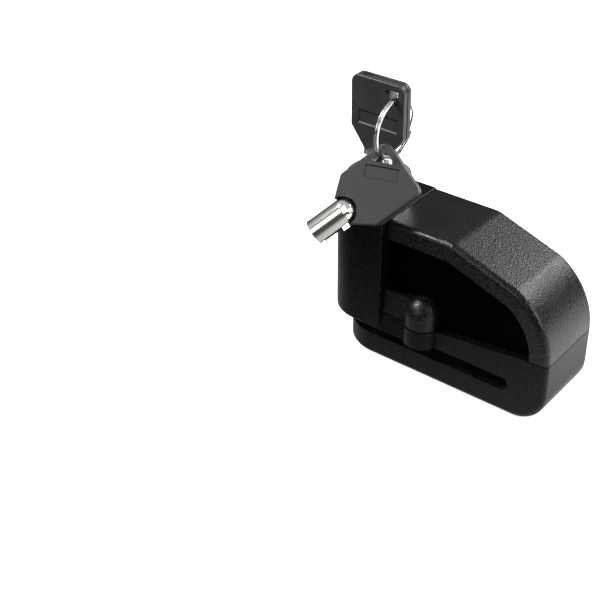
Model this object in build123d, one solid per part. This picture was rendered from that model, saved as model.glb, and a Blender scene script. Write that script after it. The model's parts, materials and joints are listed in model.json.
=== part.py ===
"""Motorcycle disc brake lock with a built-in siren, its key, a split ring and the spare key.

Frame: +Z up, +X along the disc slot towards its closed end, -Y the side with the dark arch panel.
The origin is near the centre of the flat underside. Millimetres.
"""
import math
import os

from build123d import *

os.makedirs("parts", exist_ok=True)

# --- lock body -------------------------------------------------------------------------------
FACE_Y, BACK_Y = -15.5, 16.5     # flat faces of the body
RIGHT_X = 46.5           # closed end of the body
TOP_Z = 60.0             # top of the body
SEAM_X = -21.0           # joint between the lock housing and the siren cover
FLAT_END_X = 6.0         # end of the cover's flat top
FACET_END = (32.0, 51.0)         # end of the cover's sloping facet
ARC_CENTRE = (17.0, 25.8)        # the arch then runs round this centre to the closed end
ARC_R = RIGHT_X - ARC_CENTRE[0]
KINK_R = 9.0             # softens the two breaks between flat, facet and arc
RECESS_KINK_R = 20.0     # the recess follows the arch more loosely
SHOULDER_R = 12.0        # rounded lower corner at the closed end
EDGE_R = 2.3             # rounding round both faces of the body
SEAM_EDGE_R = 0.7

# joint line between casting and cover, which climbs towards the closed end
PART_LOW_Z, PART_HIGH_Z = 22.2, 25.8
PART_RISE_X = (3.5, 38.5)
PART_GAP = 0.4           # filled by the gasket

# --- disc slot and jaw -----------------------------------------------------------------------
JAW_TOP_Z, SLOT_TOP_Z = 9.6, 14.9
SLOT_END_X = 32.3
JAW_END_CENTRE_X = -27.2         # the jaw's end is half round in plan

# --- lock housing ----------------------------------------------------------------------------
AXIS_X, AXIS_Y = -34.0, -2.5     # axis of plunger, locking pin and key
LEFT_X = -48.0
FRONT_Y = -18.6          # the housing stands proud of the cover
FRONT_ROUND, BACK_ROUND = 15.0, 13.0
BORE_R = 11.85
BORE_FLOOR_Z = 21.0
RAMP_Y, RAMP_TOP_Z = (-18.4, -15.5), 31.8    # foot between housing and boss leans back upwards
PIN_R, PIN_GUIDE_R, JAW_HOLE_R, JAW_HOLE_FLOOR_Z = 3.5, 3.55, 3.75, 1.6

# --- screw boss on the front -----------------------------------------------------------------
BOSS_X, BOSS_Y = -5.0, -13.9
BOSS_R = 6.9
BOSS_DOME_Z, BOSS_TOP_Z = 27.0, 33.8
FRONT_SCREW = (BOSS_X, -14.2)
REAR_SCREW = (39.5, -5.0)
SCREW_R, SCREW_HEAD_R, SCREW_HEAD_H = 2.0, 3.5, 4.0

# --- siren cover -----------------------------------------------------------------------------
COVER_X = SEAM_X + 0.15
RIM_W = 7.0              # width of the rim round the front recess
RECESS_Y = -11.7         # floor of the front recess
PANEL_T = 1.0
WALL = 2.6
CAVITY_Y = (-10.1, 13.1)
CAVITY_X = COVER_X + 2.0
BACK_RECESS = 1.0

# --- plunger, at rest popped up out of the housing ----------------------------------------------
TRAVEL = 10.0
PLUNGER_R, PLUNGER_IN_R = 11.8, 8.0
PLUNGER_Z = (46.0, 70.0)
LATCH_Z = (50.0, 52.1)
LATCH_THROW = 1.3
PIN_TIP_Z = 15.6
TUMBLERS, TUMBLER_PCD_R = 7, 4.15
STOP_Z = 49.0
SHEAR_Z = 61.35          # between stator and spindle flange
SWITCH_Z = 39.0

# --- keys ----------------------------------------------------------------------------------------
HEAD_W, HEAD_H, HEAD_T = 22.4, 27.2, 4.8
TAPER_LEFT_H, TAPER_RIGHT_H = 7.8, 7.2
NECK_X = (-5.4, 5.0)
TUBE_R, TUBE_IN_R, TUBE_L = 4.7, 3.6, 12.6
KEY_Z = 78.7             # lower end of the head when the key is in
CORNER_HOLE_INSET, CORNER_HOLE_LEG = 2.4, 6.4
LABEL_DEPTH = 0.55
RING_CENTRE = (-26.23, -4.94, 89.92)
RING_R, RING_WIRE, RING_W = 10.87, 1.2, 1.6
SPARE_HANG = (-26.17, -11.05, 80.92)     # where the ring holds the spare key
SPARE_YAW, SPARE_TILT, SPARE_ROLL = 195.8, 31.1, -44.7
SPARE_HOLD = (6.94, 22.36)               # the same point in the key's own x and z


# --- helpers ---------------------------------------------------------------------------------
def post(x, y, radius, z0, z1):
    """Upright cylinder."""
    return Pos(x, y, (z0 + z1) / 2) * Cylinder(radius, z1 - z0)


def on_axis(radius, z0, z1):
    """Upright cylinder on the plunger's axis."""
    return post(AXIS_X, AXIS_Y, radius, z0, z1)


def rod_y(x, z, radius, y0, y1):
    return Pos(x, (y0 + y1) / 2, z) * Rot(90, 0, 0) * Cylinder(radius, y1 - y0)


def rod_x(y, z, radius, x0, x1):
    return Pos((x0 + x1) / 2, y, z) * Rot(0, 90, 0) * Cylinder(radius, x1 - x0)


def block(x0, x1, y0, y1, z0, z1):
    return Pos((x0 + x1) / 2, (y0 + y1) / 2, (z0 + z1) / 2) * Box(x1 - x0, y1 - y0, z1 - z0)


def slab(face, y0, y1):
    """Extrude a face drawn in X and Z between two depths."""
    return extrude(Plane.XZ.offset(-y1) * face, y1 - y0)


def region(*points):
    return make_face(Polyline(*points, close=True))


def save(name, shape):
    shape.label = name
    export_step(shape, f"parts/{name}.step")


def turned_about_axis(x, y, degrees):
    a = math.radians(degrees)
    return AXIS_X + x * math.cos(a) - y * math.sin(a), AXIS_Y + x * math.sin(a) + y * math.cos(a)


# --- outlines in X and Z -----------------------------------------------------------------------
def arch(inset=0.0, kink=KINK_R):
    """Everything under the arch of the body, moved in by inset."""
    far_left, far_below = -80.0, -40.0
    top = Line((far_left, TOP_Z), (FLAT_END_X, TOP_Z))
    facet = Line((FLAT_END_X, TOP_Z), FACET_END)
    start = math.degrees(math.atan2(FACET_END[1] - ARC_CENTRE[1], FACET_END[0] - ARC_CENTRE[0]))
    on_arc = [(ARC_CENTRE[0] + ARC_R * math.cos(math.radians(a)),
               ARC_CENTRE[1] + ARC_R * math.sin(math.radians(a))) for a in (start / 2, 0.0)]
    curve = ThreePointArc(FACET_END, *on_arc)
    rest = Polyline(on_arc[1], (RIGHT_X, far_below), (far_left, far_below), (far_left, TOP_Z))
    outline = make_face([top, facet, curve, *rest.edges()])
    kinks = [v for v in outline.vertices() if v.X in (FLAT_END_X, FACET_END[0]) and v.Y > 50]
    outline = fillet(ShapeList(kinks), kink)
    return offset(outline, -inset, kind=Kind.INTERSECTION) if inset else outline


def above_joint(left, lift):
    x0, x1 = PART_RISE_X
    low, high = PART_LOW_Z + lift, PART_HIGH_Z + lift
    return region((left, low), (x0, low), (x1, high), (80, high), (80, 90), (left, 90))


# --- root body -----------------------------------------------------------------------------------
def housing_plan():
    """Plan of the lock housing: rounded at its free end, square against the cover."""
    plan = region((LEFT_X, FRONT_Y), (SEAM_X, FRONT_Y), (SEAM_X, BACK_Y), (LEFT_X, BACK_Y))
    front_corner = plan.vertices().group_by(Axis.Y)[0].sort_by(Axis.X)[0]
    plan = fillet(front_corner, FRONT_ROUND)
    back_corner = plan.vertices().group_by(Axis.Y)[-1].sort_by(Axis.X)[0]
    return fillet(back_corner, BACK_ROUND)


def ramp(x0, z0, z1):
    """Slice of the foot between the lock housing and the screw boss."""
    def front(z):
        share = (z - SLOT_TOP_Z) / (RAMP_TOP_Z - SLOT_TOP_Z)
        return RAMP_Y[0] + share * (RAMP_Y[1] - RAMP_Y[0])
    profile = region((front(z0), z0), (front(z1), z1), (CAVITY_Y[0], z1), (CAVITY_Y[0], z0))
    return Pos(x0, 0, 0) * extrude(Plane.YZ * profile, BOSS_X - x0)


def casting():
    """Jaw, slot, lower band and lock housing, one casting."""
    below = region((-80, 0), (RIGHT_X, 0), (RIGHT_X, PART_HIGH_Z), (PART_RISE_X[1], PART_HIGH_Z),
                   (PART_RISE_X[0], PART_LOW_Z), (-80, PART_LOW_Z))
    corner = below.vertices().group_by(Axis.X)[-1].sort_by(Axis.Y)[0]
    below = fillet(corner, SHOULDER_R)
    band = slab(below, FACE_Y, BACK_Y)
    end = Pos(JAW_END_CENTRE_X, (FACE_Y + BACK_Y) / 2) * Circle((BACK_Y - FACE_Y) / 2)
    plan = end + region((JAW_END_CENTRE_X, FACE_Y), (80, FACE_Y), (80, BACK_Y),
                        (JAW_END_CENTRE_X, BACK_Y))
    band = band & extrude(plan, 40)
    faces = band.faces()
    sides = [f for f in (faces.sort_by(Axis.Y)[0], faces.sort_by(Axis.Y)[-1])]
    low_edges = [e for f in sides for e in f.edges() if e.center().Z < SHOULDER_R]
    low_edges = [e for e in low_edges if e.center().X > JAW_END_CENTRE_X]
    end_edges = [e for f in sides for e in f.edges()
                 if e.center().X > RIGHT_X - 0.1 and e.center().Z > SHOULDER_R]
    underside = faces.sort_by(Axis.Z)[0]
    end_edge = underside.edges().sort_by(Axis.X)[0]
    band = fillet(ShapeList(low_edges + end_edges) + [end_edge], EDGE_R)

    slot_h = SLOT_TOP_Z - JAW_TOP_Z
    slot_z = (SLOT_TOP_Z + JAW_TOP_Z) / 2
    slot = block(-80, SLOT_END_X - slot_h / 2, -30, 30, JAW_TOP_Z, SLOT_TOP_Z)
    slot += rod_y(SLOT_END_X - slot_h / 2, slot_z, slot_h / 2, -30, 30)

    housing = Pos(0, 0, SLOT_TOP_Z) * extrude(housing_plan(), TOP_Z - SLOT_TOP_Z)
    top = housing.faces().sort_by(Axis.Z)[-1]
    rim = [e for e in top.edges() if e.center().X < SEAM_X - 0.1]
    housing = fillet(ShapeList(rim), 1.2)
    seam_edge = [e for e in housing.edges()
                 if e.center().X > SEAM_X - 0.01 and e.center().Z > TOP_Z - 0.01]
    housing = fillet(ShapeList(seam_edge), SEAM_EDGE_R)
    foot = housing.faces().sort_by(Axis.Z)[0]
    foot_rim = [e for e in foot.edges() if e.center().X < AXIS_X + 1]
    housing = fillet(ShapeList(foot_rim), 1.0)
    shoe = ramp(SEAM_X - 2, SLOT_TOP_Z, PART_LOW_Z)
    boss = post(BOSS_X, BOSS_Y, BOSS_R, SLOT_TOP_Z, PART_LOW_Z)
    body = band - slot + housing + shoe + boss

    body -= on_axis(BORE_R, BORE_FLOOR_Z, TOP_Z + 1)
    body -= on_axis(PIN_GUIDE_R, SLOT_TOP_Z - 1, BORE_FLOOR_Z + 1)
    body -= on_axis(JAW_HOLE_R, JAW_HOLE_FLOOR_Z, JAW_TOP_Z + 1)
    body -= on_axis(12.5, 57.0, 58.3)
    for drop in (0.0, TRAVEL):
        body -= block(AXIS_X - 13.0, AXIS_X - 10.5, AXIS_Y - 2.7, AXIS_Y + 2.7,
                      LATCH_Z[0] - drop - 0.3, LATCH_Z[1] - drop + 0.3)
    body -= rod_y(AXIS_X, STOP_Z, 2.05, AXIS_Y + 9, BACK_Y + 1)
    body -= rod_x(AXIS_Y, SWITCH_Z, 1.35, AXIS_X + 9, SEAM_X + 1)
    body -= post(*FRONT_SCREW, SCREW_HEAD_R + 0.2, SLOT_TOP_Z - 1, SLOT_TOP_Z + 4.2)
    body -= post(*FRONT_SCREW, 2.2, SLOT_TOP_Z, 30)
    body -= post(*REAR_SCREW, SCREW_HEAD_R + 0.2, -1, 9.0)
    body -= post(*REAR_SCREW, 2.2, 5, 30)
    return body


def siren_cover():
    """Arched cover, with the recess for the dark panel and the upper half of the screw boss."""
    shell = slab(arch() & above_joint(COVER_X, PART_GAP), FACE_Y, BACK_Y)
    faces = shell.faces()
    edges = [e for f in (faces.sort_by(Axis.Y)[0], faces.sort_by(Axis.Y)[-1]) for e in f.edges()]
    rim = [e for e in edges if e.center().Z > PART_HIGH_Z + 2 and e.center().X > COVER_X + 1]
    shell = fillet(ShapeList(rim), EDGE_R)
    seam_edge = [e for e in shell.edges()
                 if e.center().X < COVER_X + 0.01 and e.center().Z > TOP_Z - 0.01]
    shell = fillet(ShapeList(seam_edge), SEAM_EDGE_R)
    recess = slab(arch(RIM_W, RECESS_KINK_R) & above_joint(COVER_X - 1, 0), FACE_Y - 1, RECESS_Y)
    back_recess = slab(arch(RIM_W) & above_joint(COVER_X + 4, 5), BACK_Y - BACK_RECESS, BACK_Y + 1)
    cavity = slab(arch(WALL) & above_joint(CAVITY_X, -1), *CAVITY_Y)
    web = ramp(COVER_X, PART_LOW_Z + PART_GAP, RAMP_TOP_Z)
    shell = shell - recess + web - back_recess - cavity

    dome = Pos(BOSS_X, BOSS_Y, BOSS_DOME_Z) * scale(
        Sphere(BOSS_R - 0.3), (1, 1, (BOSS_TOP_Z - BOSS_DOME_Z) / (BOSS_R - 0.3)))
    boss = post(BOSS_X, BOSS_Y, BOSS_R - 0.3, PART_LOW_Z + PART_GAP, BOSS_DOME_Z) + dome
    boss &= slab(above_joint(COVER_X, PART_GAP), -40, CAVITY_Y[0])
    shell += boss
    shell -= post(*FRONT_SCREW, SCREW_R + 0.05, 20, 31.5)

    rear_boss = post(*REAR_SCREW, 4.4, PART_HIGH_Z + PART_GAP, 37) & slab(
        arch(1.0), FACE_Y + 1, BACK_Y - 1)
    shell += rear_boss
    shell -= post(*REAR_SCREW, SCREW_R + 0.05, 20, 36)
    for x, z in BOARD_SCREWS:
        shell += rod_y(x, z, 2.2, CAVITY_Y[0] - 0.5, BOARD_Y[0])
        shell -= rod_y(x, z, 0.85, CAVITY_Y[0] - 1.0, BOARD_Y[0] + 1)
    shell -= rod_x(AXIS_Y, SWITCH_Z, 1.35, COVER_X - 1, CAVITY_X + 1)
    for i in range(-2, 3):
        half = 5.5 - 0.9 * abs(i)
        z = SIREN_XZ[1] + 3.0 * i
        shell -= block(SIREN_XZ[0] - half, SIREN_XZ[0] + half, 12, 18, z - 0.7, z + 0.7)
        for side in (-half, half):
            shell -= rod_y(SIREN_XZ[0] + side, z, 0.7, 12, 18)
    return shell


def front_panel():
    """Dark panel in the front recess, cut round the web and the screw boss."""
    window = arch(RIM_W + 0.1, RECESS_KINK_R) & above_joint(COVER_X + 0.1, PART_GAP)
    plate = slab(window, RECESS_Y - PANEL_T, RECESS_Y)
    plate -= block(COVER_X - 1, BOSS_X, -20, 0, 0, RAMP_TOP_Z + 0.1)
    plate -= post(BOSS_X, BOSS_Y, BOSS_R - 0.2, 0, BOSS_DOME_Z)
    plate -= Pos(BOSS_X, BOSS_Y, BOSS_DOME_Z) * scale(
        Sphere(BOSS_R - 0.2), (1, 1, (BOSS_TOP_Z - BOSS_DOME_Z + 0.1) / (BOSS_R - 0.2)))
    return plate


def cover_gasket():
    """Rubber frame in the joint, under the cover's walls."""
    joint = above_joint(COVER_X + 0.4, 0.0) - above_joint(COVER_X + 0.4, PART_GAP)
    outer = slab(joint & arch(0.7), CAVITY_Y[0] - 1.3, BACK_Y - 0.7)
    inner = slab(above_joint(CAVITY_X, -1) & arch(WALL), CAVITY_Y[0], CAVITY_Y[1])
    return outer - inner


def hex_screw(length):
    """Socket head cap screw, head down at the origin, shank up."""
    screw = post(0, 0, SCREW_HEAD_R, 0, SCREW_HEAD_H)
    screw = chamfer(screw.edges().group_by(Axis.Z)[0], 0.3)
    screw += post(0, 0, SCREW_R, SCREW_HEAD_H, SCREW_HEAD_H + length)
    return screw - extrude(RegularPolygon(1.5, 6, major_radius=False), 2.2)


# --- electronics -----------------------------------------------------------------------------
BOARD_Y = (-8.2, -7.0)
BOARD_SCREWS = [(-14.0, 43.0), (21.0, 30.0)]
SIREN_XZ, SIREN_R = (-8.5, 46.5), 9.2
CELLS, CELL_R, CELL_L, CELL_PITCH = 6, 5.8, 5.3, 5.4
CELL_X0, CELL_Y, CELL_Z = 2.0, 5.5, 32.4


def circuit_board():
    board = block(-17, 24, *BOARD_Y, 27, 45)
    for x, z in BOARD_SCREWS:
        board -= rod_y(x, z, 1.1, BOARD_Y[0] - 1, BOARD_Y[1] + 1)
    return board


def board_screws():
    screws = []
    for x, z in BOARD_SCREWS:
        head = rod_y(x, z, 1.7, BOARD_Y[1], BOARD_Y[1] + 1.1)
        slot = block(x - 2, x + 2, BOARD_Y[1] + 0.6, BOARD_Y[1] + 2, z - 0.25, z + 0.25)
        screws.append(head + rod_y(x, z, 0.8, CAVITY_Y[0] - 0.8, BOARD_Y[1]) - slot)
    return Compound(children=screws)


def micro_switch():
    body = block(-18.6, -12.2, BOARD_Y[1], 0.2, 34.6, 41.1)
    return body - rod_x(AXIS_Y, SWITCH_Z, 1.3, -19, -15.0)


def switch_button():
    """Long button that the plunger's skirt pushes through the two walls."""
    return rod_x(AXIS_Y, SWITCH_Z, 1.2, AXIS_X + BORE_R - 0.5, -16.4)


def battery_tray():
    tray = block(0.6, 36.4, CELL_Y - 6.8, CELL_Y + 6.8, 25.9, CELL_Z)
    tray -= rod_x(CELL_Y, CELL_Z, CELL_R + 0.1, 1.4, 35.6)
    for x in (0.6, 35.6):
        tray += block(x, x + 0.8, CELL_Y - 5, CELL_Y + 5, CELL_Z, CELL_Z + 4)
    return tray


def coin_cells():
    cells = []
    for i in range(CELLS):
        x = CELL_X0 + i * CELL_PITCH
        can = rod_x(CELL_Y, CELL_Z, CELL_R, x, x + CELL_L - 0.5)
        cells.append(can + rod_x(CELL_Y, CELL_Z, CELL_R - 0.9, x, x + CELL_L))
    return Compound(children=cells)


def battery_contact_minus():
    plate = block(1.4, 1.8, CELL_Y - 4.5, CELL_Y + 4.5, 29.5, 37.0)
    return plate + block(1.4, 1.8, BOARD_Y[1], CELL_Y - 4.5, 34, 36)


def battery_contact_plus():
    plate = block(34.6, 35.0, CELL_Y - 4.5, CELL_Y + 4.5, 29.5, 37.0)
    strip = block(34.6, 35.0, -3.0, CELL_Y - 4.5, 34, 36) + block(22.5, 35.0, -3.0, -2.6, 34, 36)
    return plate + strip + block(22.5, 22.9, BOARD_Y[1], -2.6, 34, 36)


def siren_housing():
    x, z = SIREN_XZ
    return rod_y(x, z, SIREN_R, 3.0, 12.9) - rod_y(x, z, SIREN_R - 1, 4.0, 14)


def siren_leads():
    wires = [rod_y(x, 43.0, 0.4, BOARD_Y[1], 3.0) for x in (-11.5, -6.0)]
    return Compound(children=wires)


# --- plunger assembly --------------------------------------------------------------------------
def plunger_sleeve():
    z0, z1 = PLUNGER_Z
    sleeve = chamfer(on_axis(PLUNGER_R, z0, z1).edges().group_by(Axis.Z)[0], 0.4)
    sleeve = fillet(sleeve.edges().group_by(Axis.Z)[-1], 0.7)
    sleeve -= on_axis(PLUNGER_IN_R, z0 - 1, z1 + 1)
    sleeve -= block(AXIS_X - 13, AXIS_X - 6, AXIS_Y - 2.55, AXIS_Y + 2.55,
                    LATCH_Z[0] - 0.1, LATCH_Z[1] + 0.1)
    groove = block(AXIS_X - 2.1, AXIS_X + 2.1, AXIS_Y + 8.8, AXIS_Y + 13, STOP_Z, STOP_Z + TRAVEL)
    for z in (STOP_Z, STOP_Z + TRAVEL):
        groove += rod_y(AXIS_X, z, 2.1, AXIS_Y + 8.8, AXIS_Y + 13)
    return sleeve - groove


def key_guide():
    """Steel face of the plunger, with the ring-shaped keyway's outer wall and its notch."""
    floor = SHEAR_Z + 4.65
    face = on_axis(PLUNGER_IN_R, floor, PLUNGER_Z[1] - 0.3)
    face -= on_axis(4.85, floor - 1, PLUNGER_Z[1])
    face -= on_axis(6.2, floor - 1, floor + 2.3)
    return face - block(AXIS_X - 6.1, AXIS_X, AXIS_Y - 0.95, AXIS_Y + 0.95, floor, PLUNGER_Z[1])


def tumbler_places():
    for i in range(TUMBLERS):
        a = math.radians(90 + i * 360 / TUMBLERS)
        yield AXIS_X + TUMBLER_PCD_R * math.cos(a), AXIS_Y + TUMBLER_PCD_R * math.sin(a)


def pin_stator():
    bottom = SHEAR_Z - 7.95
    stator = on_axis(PLUNGER_IN_R, bottom, SHEAR_Z - 0.05) - on_axis(3.4, bottom - 1, SHEAR_Z + 1)
    for x, y in tumbler_places():
        stator -= post(x, y, 0.6, bottom + 0.6, SHEAR_Z)
    return stator


def core_spindle():
    spindle = on_axis(3.3, SHEAR_Z - 8.05, PLUNGER_Z[1] - 0.5) + on_axis(7.9, SHEAR_Z + 0.05, SHEAR_Z + 4.55)
    spindle = fillet(spindle.edges().group_by(Axis.Z)[-1], 0.5)
    for x, y in tumbler_places():
        spindle -= post(x, y, 0.6, SHEAR_Z - 1, SHEAR_Z + 5)
    return spindle


def tumbler_group(radius, z0, z1, bore=0.0):
    pins = []
    for x, y in tumbler_places():
        pin = post(x, y, radius, z0, z1)
        pins.append(pin - post(x, y, bore, z0 - 1, z1 + 1) if bore else pin)
    return Compound(children=pins)


CRANK_R = LATCH_THROW / math.sqrt(2)


def latch_cam():
    """Crank under the spindle: a quarter turn throws the bolt."""
    x, y = turned_about_axis(CRANK_R, 0, -45)
    return on_axis(3.2, LATCH_Z[1] + 0.1, SHEAR_Z - 8.05) + post(x, y, 0.8, LATCH_Z[0] + 0.2, LATCH_Z[1] + 0.1)


def latch_bolt():
    bolt = block(AXIS_X - 11.35, AXIS_X + 4, AXIS_Y - 2.5, AXIS_Y + 2.5, *LATCH_Z)
    x, _ = turned_about_axis(CRANK_R, 0, -45)
    return bolt - block(x - 0.9, x + 0.9, AXIS_Y - 2.0, AXIS_Y + 0.4, LATCH_Z[0] - 1, LATCH_Z[1] + 1)


def pin_carrier():
    return on_axis(PLUNGER_IN_R, PLUNGER_Z[0], LATCH_Z[0] - 0.1) - on_axis(2.5, 46, 52)


def locking_pin():
    pin = chamfer(on_axis(PIN_R, PIN_TIP_Z, PLUNGER_Z[0]).edges().group_by(Axis.Z)[0], 0.8)
    return pin + on_axis(2.5, PLUNGER_Z[0], LATCH_Z[0] - 0.4)


def return_spring():
    turns, wire = 6, 0.6
    z0, z1 = BORE_FLOOR_Z + wire + 0.1, PLUNGER_Z[0] - wire - 0.1
    path = Pos(AXIS_X, AXIS_Y, z0) * Helix((z1 - z0) / turns, z1 - z0, 7.2)
    return sweep(Plane(path @ 0, z_dir=path % 0) * Circle(wire), path)


def travel_stop_screw():
    screw = rod_y(AXIS_X, STOP_Z, 2.0, AXIS_Y + 9.6, BACK_Y - 1.0)
    socket = Plane((AXIS_X, BACK_Y - 1.0, STOP_Z), z_dir=(0, -1, 0)) * RegularPolygon(
        1.0, 6, major_radius=False)
    return screw - extrude(socket, 2.0)


def bore_o_ring():
    ring = on_axis(12.45, 57.1, 58.2) - on_axis(BORE_R, 57, 59)
    return ring


# --- key, in its own frame: z up from the shoulder, face with the upright label towards -y ---------
def head_outline():
    w = HEAD_W / 2
    face = region((NECK_X[0], 0), (NECK_X[1], 0), (w, TAPER_RIGHT_H), (w, HEAD_H), (-w, HEAD_H),
                  (-w, TAPER_LEFT_H))
    face = fillet(face.vertices().group_by(Axis.Y)[-1], 3.0)
    return fillet([v for v in face.vertices() if 5 < v.Y < 9], 2.0)


def key_head():
    half = HEAD_T / 2
    head = slab(head_outline(), -half, half)
    rims = [e for f in (head.faces().sort_by(Axis.Y)[0], head.faces().sort_by(Axis.Y)[-1])
            for e in f.edges() if e.center().Z > 0.1]
    head = fillet(ShapeList(rims), 0.55)
    band = slab(head_outline(), -0.3, 0.3) - slab(offset(head_outline(), -0.3), -0.3, 0.3)
    head -= band & block(-20, 20, -5, 5, 1.0, 40)

    corner = (HEAD_W / 2 - CORNER_HOLE_INSET, HEAD_H - CORNER_HOLE_INSET)
    leg = CORNER_HOLE_LEG
    hole = region(corner, (corner[0] - leg, corner[1]), (corner[0], corner[1] - leg))
    head -= slab(fillet(hole.vertices(), 0.5), -half - 1, half + 1)

    front = Plane((0, -half, 0), x_dir=(1, 0, 0), z_dir=(0, 1, 0))
    label = front * Pos(0.2, 15.15 - HEAD_H) * Rectangle(17.0, 5.5)
    head -= extrude(label, LABEL_DEPTH, taper=35)
    rear = Plane((0, half, 0), x_dir=(1, 0, 0), z_dir=(0, -1, 0))
    diagonal = rear * Pos(2.7, HEAD_H - 7.9) * Rot(0, 0, -45) * Rectangle(12.5, 4.7)
    head -= extrude(diagonal, LABEL_DEPTH, taper=35)

    cut_r = TUBE_R + 0.5
    u_cut = slab(Pos(0, 0.5) * Circle(cut_r) + Pos(0, -5) * Rectangle(2 * cut_r, 11), -1.7, half + 1)
    top_mark = block(-7.5, -3.5, -0.9, 0.9, HEAD_H - 0.8, HEAD_H + 1)
    rim = Pos(0, half - 0.25, 0.5) * Rot(-90, 0, 0) * Cone(cut_r, cut_r + 0.5, 0.5)
    rim &= block(-9, 9, half - 1, half + 1, 0.5, 9)
    return head - u_cut - rim - top_mark


def key_tube():
    """Tube with a rounded end let into the head, a turning nib at its tip and a rib at its root."""
    tube = post(0, 0, TUBE_R, -TUBE_L, 0.5) + Pos(0, 0, 0.5) * Sphere(TUBE_R)
    tube -= block(-9, 9, -9, -1.7, 0, 9)
    tube += block(-5.7, -4.0, -0.8, 0.8, -TUBE_L + 0.5, -TUBE_L + 2.0)
    tube += block(-6.0, -4.0, -1.3, 1.3, -2.9, -0.3)
    tube -= post(0, 0, TUBE_IN_R, -TUBE_L - 1, -2.5)
    return tube - block(-1.6, 1.0, 3.7, 6, 0.6, 2.6)


def split_ring():
    wire = Rectangle(RING_WIRE, RING_W)
    wire = fillet(wire.vertices(), 0.35)
    return Pos(*RING_CENTRE) * Rot(0, 90, 0) * revolve(Plane.XZ * Pos(RING_R, 0) * wire, Axis.Z)


def spare_place():
    """Placement of the spare key: its corner hole hangs on the ring's lower front."""
    turn = Location(SPARE_HANG) * Rot(0, 0, SPARE_YAW) * Rot(SPARE_TILT, 0, 0) * Rot(0, SPARE_ROLL, 0)
    return turn * Pos(-SPARE_HOLD[0], 0, -SPARE_HOLD[1])


KEY_PLACE = Pos(AXIS_X, AXIS_Y, KEY_Z)

NODES = {
    "lock_body": casting,
    "siren_cover": siren_cover,
    "front_panel": front_panel,
    "cover_gasket": cover_gasket,
    "front_cover_screw": lambda: Pos(*FRONT_SCREW, SLOT_TOP_Z + 0.2) * hex_screw(12),
    "rear_cover_screw": lambda: Pos(*REAR_SCREW, 5.0) * hex_screw(26),
    "circuit_board": circuit_board,
    "board_screws": board_screws,
    "control_chip": lambda: block(6.5, 14.5, BOARD_Y[1], BOARD_Y[1] + 1.6, 28, 36),
    "step_up_coil": lambda: rod_y(16.0, 40.5, 4.0, BOARD_Y[1], -1.5),
    "shock_sensor": lambda: rod_x(BOARD_Y[1] + 2.0, 31.0, 2.0, -5, 4),
    "micro_switch": micro_switch,
    "switch_button": switch_button,
    "battery_tray": battery_tray,
    "coin_cells": coin_cells,
    "battery_contact_minus": battery_contact_minus,
    "battery_contact_plus": battery_contact_plus,
    "siren_housing": siren_housing,
    "siren_diaphragm": lambda: rod_y(*SIREN_XZ, SIREN_R - 1, 8.0, 8.25),
    "siren_leads": siren_leads,
    "travel_stop_screw": travel_stop_screw,
    "bore_o_ring": bore_o_ring,
    "return_spring": return_spring,
    "plunger_sleeve": plunger_sleeve,
    "key_guide": key_guide,
    "pin_stator": pin_stator,
    "driver_pins": lambda: tumbler_group(0.5, SHEAR_Z - 2.95, SHEAR_Z - 0.15),
    "tumbler_springs": lambda: tumbler_group(0.5, SHEAR_Z - 7.25, SHEAR_Z - 3.05, bore=0.3),
    "pin_carrier": pin_carrier,
    "locking_pin": locking_pin,
    "core_spindle": core_spindle,
    "key_pins": lambda: tumbler_group(0.5, SHEAR_Z + 0.15, SHEAR_Z + 4.45),
    "latch_cam": latch_cam,
    "latch_bolt": latch_bolt,
    "key_head": lambda: KEY_PLACE * key_head(),
    "key_tube": lambda: KEY_PLACE * key_tube(),
    "split_ring": split_ring,
    "spare_key_head": lambda: spare_place() * key_head(),
    "spare_key_tube": lambda: spare_place() * key_tube(),
}

for name, make in NODES.items():
    save(name, make())
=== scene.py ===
import json
import math

import bmesh
import bpy
from mathutils import Matrix, Vector


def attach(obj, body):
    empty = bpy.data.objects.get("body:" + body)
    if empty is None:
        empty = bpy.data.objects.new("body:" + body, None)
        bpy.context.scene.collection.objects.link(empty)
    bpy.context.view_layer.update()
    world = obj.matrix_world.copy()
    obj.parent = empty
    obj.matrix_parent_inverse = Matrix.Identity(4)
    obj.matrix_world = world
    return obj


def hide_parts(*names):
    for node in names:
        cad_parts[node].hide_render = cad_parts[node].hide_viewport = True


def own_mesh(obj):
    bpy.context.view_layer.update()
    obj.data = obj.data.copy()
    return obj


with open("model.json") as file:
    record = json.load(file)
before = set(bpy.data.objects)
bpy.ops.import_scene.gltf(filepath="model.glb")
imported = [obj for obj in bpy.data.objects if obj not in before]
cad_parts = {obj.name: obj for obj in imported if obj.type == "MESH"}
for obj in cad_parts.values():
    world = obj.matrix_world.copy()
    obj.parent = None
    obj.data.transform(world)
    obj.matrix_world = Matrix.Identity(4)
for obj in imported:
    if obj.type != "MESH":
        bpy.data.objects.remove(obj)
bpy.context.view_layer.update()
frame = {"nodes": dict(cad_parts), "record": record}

MM = 0.001
NODES = frame["nodes"]

# camera: where it looks from, how far away, and its offset from the aim point
VIEW_AZIMUTH, VIEW_ELEVATION, VIEW_ROLL = 39.66, 33.64, -0.96   # degrees
AIM_X, AIM_Y, DISTANCE = -11.51 * MM, 13.47 * MM, 464.7 * MM
AIM_CORNER = (46.5 * MM, 15.5 * MM, 0)
LENS_MM, SENSOR_MM = 71.37, 36

# surround
FLOOR_HALF = 4.0
FLOOR_GLOW = 0.8
FLOOR_SEEN = 0.9
FLOOR_FALL_DIRECTION = (0.6, 0.8, 0.0)
FLOOR_FALL_START, FLOOR_FALL_END = -0.1, 0.06
FLOOR_MIRRORED = ((0.0, 0.02), (0.45, 0.25), (1.0, 0.75))
SKY_LOW, SKY_HIGH = 0.06, 0.5
SKY_LOW_AT, SKY_HIGH_AT = 0.1, 0.85

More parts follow.
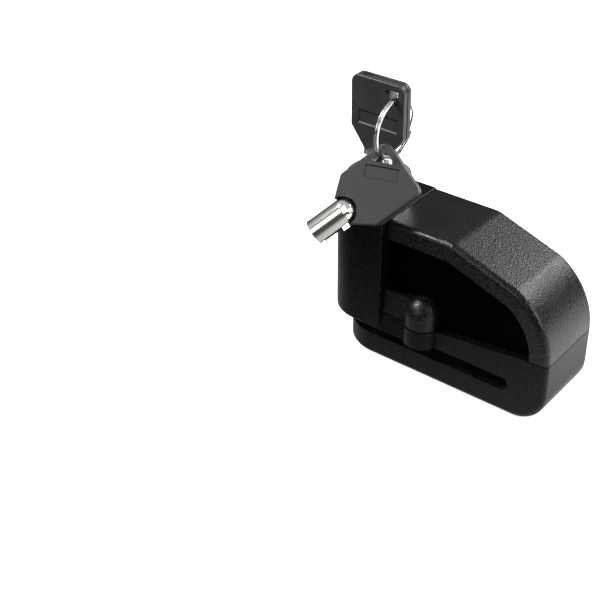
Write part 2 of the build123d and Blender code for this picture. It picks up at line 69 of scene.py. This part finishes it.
# name, place, target, size, power in watts
LIGHTS = (
    ("back_light", (0.3, 0.65, 0.6), (0, 0, 0.05), (0.5, 0.4), 7),
    ("right_light", (0.8, 0.1, 0.45), (0.02, 0, 0.03), (0.4, 0.4), 4.4),
    ("high_light", (-0.40, -0.28, 0.62), (-0.01, 0, 0.05), (0.12, 0.12), 6.5),
    ("front_light", (-0.1, -0.85, 0.42), (-0.03, 0, 0.08), (0.35, 0.35), 1.6),
)

# split ring: two turns of flat wire
RING_CENTRE = Vector((-26.23, -4.94, 89.92)) * MM
RING_RADIUS = 10.87 * MM
WIRE_LANE, WIRE_HALF_WIDTH, WIRE_HALF_THICKNESS, WIRE_CORNER = 0.41 * MM, 0.385 * MM, 0.56 * MM, 0.16 * MM
WIRE_START, WIRE_END = 24.0, 696.0        # degrees round the ring
CROSSING_START, CROSSING_SPAN = 338.0, 44.0
WIRE_STEPS = 224

# return spring
SPRING_AXIS = Vector((-34.0, -2.5, 0)) * MM
SPRING_LOW, SPRING_HIGH, SPRING_SEAT = 21.7 * MM, 45.3 * MM, 21.1 * MM
SPRING_RADIUS, SPRING_WIRE, SPRING_TURNS = 7.2 * MM, 0.58 * MM, 6.0
SPRING_STEPS, SPRING_SIDES = 432, 12


# --- camera, floor and light ---------------------------------------------------------------------
def add_camera():
    azimuth, elevation, roll = map(math.radians, (VIEW_AZIMUTH, VIEW_ELEVATION, VIEW_ROLL))
    back = Vector((math.sin(azimuth) * math.cos(elevation), -math.cos(azimuth) * math.cos(elevation),
                   math.sin(elevation)))
    right = Vector((math.cos(azimuth), math.sin(azimuth), 0))
    up = back.cross(right)
    right_r = right * math.cos(roll) + up * math.sin(roll)
    up_r = up * math.cos(roll) - right * math.sin(roll)
    place = right_r * AIM_X + up_r * AIM_Y + back * DISTANCE - Vector(AIM_CORNER)
    data = bpy.data.cameras.new("camera")
    data.lens, data.sensor_width = LENS_MM, SENSOR_MM
    data.clip_start, data.clip_end = 0.01, 20
    camera = bpy.data.objects.new("camera", data)
    turn = Matrix((right_r, up_r, back)).transposed().to_4x4()
    camera.matrix_world = Matrix.Translation(place) @ turn
    bpy.context.scene.collection.objects.link(camera)
    bpy.context.scene.camera = camera


def add_area(name, place, target, size, power):
    data = bpy.data.lights.new(name, "AREA")
    data.shape, data.size, data.size_y = "RECTANGLE", size[0], size[1]
    data.energy = power
    light = bpy.data.objects.new(name, data)
    light.location = place
    light.rotation_euler = (Vector(target) - Vector(place)).to_track_quat("-Z", "Y").to_euler()
    bpy.context.scene.collection.objects.link(light)


def add_floor():
    mesh = bpy.data.meshes.new("floor")
    corners = [(x * FLOOR_HALF, y * FLOOR_HALF, 0) for x, y in ((-1, -1), (1, -1), (1, 1), (-1, 1))]
    mesh.from_pydata(corners, [], [(0, 1, 2, 3)])
    floor = bpy.data.objects.new("floor", mesh)
    bpy.context.scene.collection.objects.link(floor)
    floor.data.materials.append(floor_material())


def seen_or_mirrored(nodes, links, seen, mirrored):
    """A plain grey to the camera, and another colour to every mirror and shadow ray."""
    path = nodes.new("ShaderNodeLightPath")
    pick = nodes.new("ShaderNodeMix")
    pick.data_type = "RGBA"
    colours = [socket for socket in pick.inputs if socket.type == "RGBA"]
    colours[1].default_value = (seen, seen, seen, 1)
    links.new(path.outputs["Is Camera Ray"], pick.inputs["Factor"])
    links.new(mirrored, colours[0])
    return next(socket for socket in pick.outputs if socket.type == "RGBA")


def floor_material():
    """White to look at; what the lock mirrors from it falls off towards the front left."""
    mat = bpy.data.materials.new("floor_white")
    mat.use_nodes = True
    nodes, links = mat.node_tree.nodes, mat.node_tree.links
    shader = nodes["Principled BSDF"]
    coords = nodes.new("ShaderNodeTexCoord")
    along = nodes.new("ShaderNodeVectorMath")
    along.operation = "DOT_PRODUCT"
    along.inputs[1].default_value = FLOOR_FALL_DIRECTION
    links.new(coords.outputs["Object"], along.inputs[0])
    spread = nodes.new("ShaderNodeMapRange")
    for name, value in (("From Min", FLOOR_FALL_START), ("From Max", FLOOR_FALL_END)):
        spread.inputs[name].default_value = value
    links.new(along.outputs["Value"], spread.inputs["Value"])
    ramp = nodes.new("ShaderNodeValToRGB")
    links.new(spread.outputs["Result"], ramp.inputs["Fac"])
    elements = ramp.color_ramp.elements
    elements.new(0.5)
    for element, (at, grey) in zip(elements, FLOOR_MIRRORED):
        element.position, element.color = at, (grey, grey, grey, 1)
    mixed = seen_or_mirrored(nodes, links, FLOOR_SEEN, ramp.outputs["Color"])
    links.new(mixed, shader.inputs["Base Color"])
    links.new(mixed, shader.inputs["Emission Color"])
    shader.inputs["Roughness"].default_value = 0.8
    shader.inputs["Emission Strength"].default_value = FLOOR_GLOW
    return mat


def add_world():
    """White to look at; what the lock mirrors from it is bright overhead and dark towards the horizon."""
    world = bpy.data.worlds.new("studio")
    world.use_nodes = True
    nodes, links = world.node_tree.nodes, world.node_tree.links
    coords = nodes.new("ShaderNodeTexCoord")
    split = nodes.new("ShaderNodeSeparateXYZ")
    ramp = nodes.new("ShaderNodeValToRGB")
    links.new(coords.outputs["Generated"], split.inputs["Vector"])
    links.new(split.outputs["Z"], ramp.inputs["Fac"])
    mixed = seen_or_mirrored(nodes, links, 1.0, ramp.outputs["Color"])
    links.new(mixed, nodes["Background"].inputs["Color"])
    elements = ramp.color_ramp.elements
    elements[0].position, elements[0].color = SKY_LOW_AT, (SKY_LOW, SKY_LOW, SKY_LOW, 1)
    elements[1].position, elements[1].color = SKY_HIGH_AT, (SKY_HIGH, SKY_HIGH, SKY_HIGH, 1)
    nodes["Background"].inputs["Strength"].default_value = 1.0
    bpy.context.scene.world = world
    bpy.context.scene.view_settings.view_transform = "Standard"


add_camera()
add_floor()
add_world()
for light in LIGHTS:
    add_area(*light)


# --- materials -----------------------------------------------------------------------------------
class Graph:
    """A material under construction, with short calls for the nodes it needs."""

    def __init__(self, name):
        self.mat = bpy.data.materials.new(name)
        self.mat.use_nodes = True
        self.nodes = self.mat.node_tree.nodes
        self.links = self.mat.node_tree.links
        self.shader = self.nodes["Principled BSDF"]
        coords = self.nodes.new("ShaderNodeTexCoord")
        self.place = coords.outputs["Object"]

    def set(self, **values):
        for key, value in values.items():
            socket = self.shader.inputs[key.replace("_", " ").title().replace("Ior", "IOR")]
            socket.default_value = (*value, 1) if isinstance(value, tuple) and len(value) == 3 else value

    def noise(self, scale, detail=2.0, rough=0.5, place=None):
        node = self.nodes.new("ShaderNodeTexNoise")
        node.inputs["Scale"].default_value = scale
        node.inputs["Detail"].default_value = detail
        node.inputs["Roughness"].default_value = rough
        self.links.new(place or self.place, node.inputs["Vector"])
        return node.outputs["Fac"]

    def stretched(self, sx, sy, sz):
        node = self.nodes.new("ShaderNodeMapping")
        node.inputs["Scale"].default_value = (sx, sy, sz)
        self.links.new(self.place, node.inputs["Vector"])
        return node.outputs["Vector"]

    def ramp(self, factor, stops):
        node = self.nodes.new("ShaderNodeValToRGB")
        elements = node.color_ramp.elements
        while len(elements) < len(stops):
            elements.new(0.5)
        for element, (at, colour) in zip(elements, stops):
            colour = (colour,) * 3 if isinstance(colour, float) else colour
            element.position, element.color = at, (*colour, 1)
        self.links.new(factor, node.inputs["Fac"])
        return node.outputs["Color"]

    def bump(self, height, distance, strength=1.0, normal=None):
        node = self.nodes.new("ShaderNodeBump")
        node.inputs["Distance"].default_value = distance
        node.inputs["Strength"].default_value = strength
        self.links.new(height, node.inputs["Height"])
        if normal:
            self.links.new(normal, node.inputs["Normal"])
        return node.outputs["Normal"]

    def connect(self, socket, output):
        self.links.new(output, self.shader.inputs[socket])


def sand_paint(name, low, high, specular, rough):
    """Black powder coat with a fine sand grain."""
    g = Graph(name)
    grain = g.noise(1700, 1.5, 0.5)
    patch = g.noise(60, 2.0)
    g.set(specular_ior_level=specular)
    g.connect("Base Color", g.ramp(grain, [(0.46, low), (0.6, high)]))
    g.connect("Roughness", g.ramp(patch, [(0.3, rough - 0.04), (0.7, rough + 0.05)]))
    g.connect("Normal", g.bump(grain, 0.00016, 1.0))
    return g.mat


def plastic(name, colour, rough=0.4, grain=3500, depth=0.00003, specular=0.5):
    g = Graph(name)
    fine = g.noise(grain, 2.0)
    cloud = g.noise(90, 3.0)
    g.set(specular_ior_level=specular)
    g.connect("Base Color", g.ramp(cloud, [(0.3, tuple(0.85 * c for c in colour)),
                                           (0.7, tuple(1.1 * c for c in colour))]))
    g.connect("Roughness", g.ramp(cloud, [(0.3, rough - 0.05), (0.7, rough + 0.06)]))
    g.connect("Normal", g.bump(fine, depth, 0.6))
    return g.mat


def metal(name, colour, rough=0.2, grain=(400, 400, 30), depth=0.00001):
    g = Graph(name)
    lines = g.noise(10, 3.0, 0.6, g.stretched(*grain))
    cloud = g.noise(120, 2.0)
    g.set(metallic=1.0)
    g.connect("Base Color", g.ramp(cloud, [(0.3, tuple(0.92 * c for c in colour)), (0.7, colour)]))
    g.connect("Roughness", g.ramp(lines, [(0.3, max(rough - 0.05, 0.02)), (0.7, rough + 0.06)]))
    g.connect("Normal", g.bump(lines, depth, 0.4))
    return g.mat


def swept_wire(name, loops, body, slot, node):
    """A closed wire skin through a row of equal loops of points, standing for a CAD node."""
    mesh = bpy.data.meshes.new(name)
    bm = bmesh.new()
    rows = [[bm.verts.new(point) for point in loop] for loop in loops]
    for a, b in zip(rows, rows[1:]):
        for k in range(len(a)):
            bm.faces.new((a[k], a[k - 1], b[k - 1], b[k])).smooth = True
    bm.faces.new(rows[0])
    bm.faces.new(list(reversed(rows[-1])))
    bmesh.ops.recalc_face_normals(bm, faces=bm.faces)
    bm.to_mesh(mesh)
    bm.free()
    wire = bpy.data.objects.new(name, mesh)
    bpy.context.scene.collection.objects.link(wire)
    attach(wire, body)
    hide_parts(node)
    wire.data.materials.append(MATERIALS[slot])
    return wire


def split_ring_coils():
    """Two turns of flat wire side by side, crossing over at the back of the ring."""
    w, t, c = WIRE_HALF_WIDTH, WIRE_HALF_THICKNESS, WIRE_CORNER
    section = [(w, t - c), (w - c, t), (c - w, t), (-w, t - c), (-w, c - t), (c - w, -t), (w - c, -t), (w, c - t)]
    loops = []
    for i in range(WIRE_STEPS + 1):
        degrees = WIRE_START + (WIRE_END - WIRE_START) * i / WIRE_STEPS
        share = min(max((degrees - CROSSING_START) / CROSSING_SPAN, 0.0), 1.0)
        side = WIRE_LANE * (2.0 * share * share * (3.0 - 2.0 * share) - 1.0)
        angle = math.radians(degrees)
        outward = Vector((0, math.cos(angle), math.sin(angle)))
        loops.append([RING_CENTRE + outward * (RING_RADIUS + out) + Vector((side + across, 0, 0))
                      for across, out in section])
    swept_wire("ring_coils", loops, "ring", "ring_nickel", "split_ring")


def spring_coils():
    """The return spring as a coil of round wire at one fixed length; the real spring shortens as the plunger goes
    in.
    """
    around = [2 * math.pi * k / SPRING_SIDES for k in range(SPRING_SIDES)]
    loops = []
    for i in range(SPRING_STEPS + 1):
        share = i / SPRING_STEPS
        angle = 2 * math.pi * SPRING_TURNS * share
        outward = Vector((math.cos(angle), math.sin(angle), 0))
        height = SPRING_LOW + (SPRING_HIGH - SPRING_LOW) * share
        middle = SPRING_AXIS + outward * SPRING_RADIUS + Vector((0, 0, height))
        loops.append([middle + outward * (SPRING_WIRE * math.cos(a)) + Vector((0, 0, SPRING_WIRE * math.sin(a)))
                      for a in around])
    spring = swept_wire("spring_coils", loops, "lock", "spring_steel", "return_spring")
    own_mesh(spring)


MATERIALS = {
    # body_paint is the same black powder coat as cover_paint, made darker and less glossy: painted shade on the
    # housing's front faces
    "body_paint": sand_paint("body_paint", (0.0002, 0.0002, 0.0002), (0.006, 0.006, 0.0062), 0.13, 0.3),
    "cover_paint": sand_paint("cover_paint", (0.0002, 0.0002, 0.0002), (0.012, 0.012, 0.0123), 0.27, 0.28),
    # panel: near-black with almost no sheen, the plate's own black plus painted shade of the deep recess
    "panel": plastic("panel", (0.0004, 0.0004, 0.0004), 0.5, specular=0.01),
    "seal_rubber": plastic("seal_rubber", (0.001, 0.001, 0.001), 0.8, specular=0.1),
    "black_screw": metal("black_screw", (0.05, 0.05, 0.055), 0.35),
    "zinc_screw": metal("zinc_screw", (0.6, 0.6, 0.6), 0.3),
    "board_green": plastic("board_green", (0.01, 0.09, 0.03), 0.3),
    "chip_black": plastic("chip_black", (0.01, 0.01, 0.01), 0.5),
    "ferrite": plastic("ferrite", (0.02, 0.02, 0.022), 0.7),
    "sensor_can": metal("sensor_can", (0.7, 0.7, 0.72), 0.3),
    "switch_plastic": plastic("switch_plastic", (0.012, 0.012, 0.014), 0.45),
    "button_red": plastic("button_red", (0.35, 0.015, 0.01), 0.4),
    "cell_steel": metal("cell_steel", (0.65, 0.65, 0.66), 0.25),
    "diaphragm_brass": metal("diaphragm_brass", (0.75, 0.5, 0.2), 0.3),
    "wire_red": plastic("wire_red", (0.35, 0.012, 0.01), 0.5),
    "spring_steel": metal("spring_steel", (0.6, 0.6, 0.62), 0.25),
    "plunger_chrome": metal("plunger_chrome", (0.78, 0.78, 0.8), 0.1),
    "guide_steel": metal("guide_steel", (0.6, 0.6, 0.62), 0.28),
    "lock_brass": metal("lock_brass", (0.72, 0.5, 0.22), 0.3),
    "hard_steel": metal("hard_steel", (0.7, 0.7, 0.72), 0.18),
    "key_plastic": plastic("key_plastic", (0.032, 0.032, 0.0325), 0.4, specular=0.3),
    "key_chrome": metal("key_chrome", (0.92, 0.89, 0.85), 0.12),
    "ring_nickel": metal("ring_nickel", (0.75, 0.74, 0.72), 0.18),
}

for part in frame["record"]["subparts"]:
    node = NODES[part["node"]]
    material = MATERIALS[part["material_slot"]]
    if not node.material_slots:
        node.data.materials.append(material)
    for holder in node.material_slots:
        holder.material = material

split_ring_coils()
spring_coils()
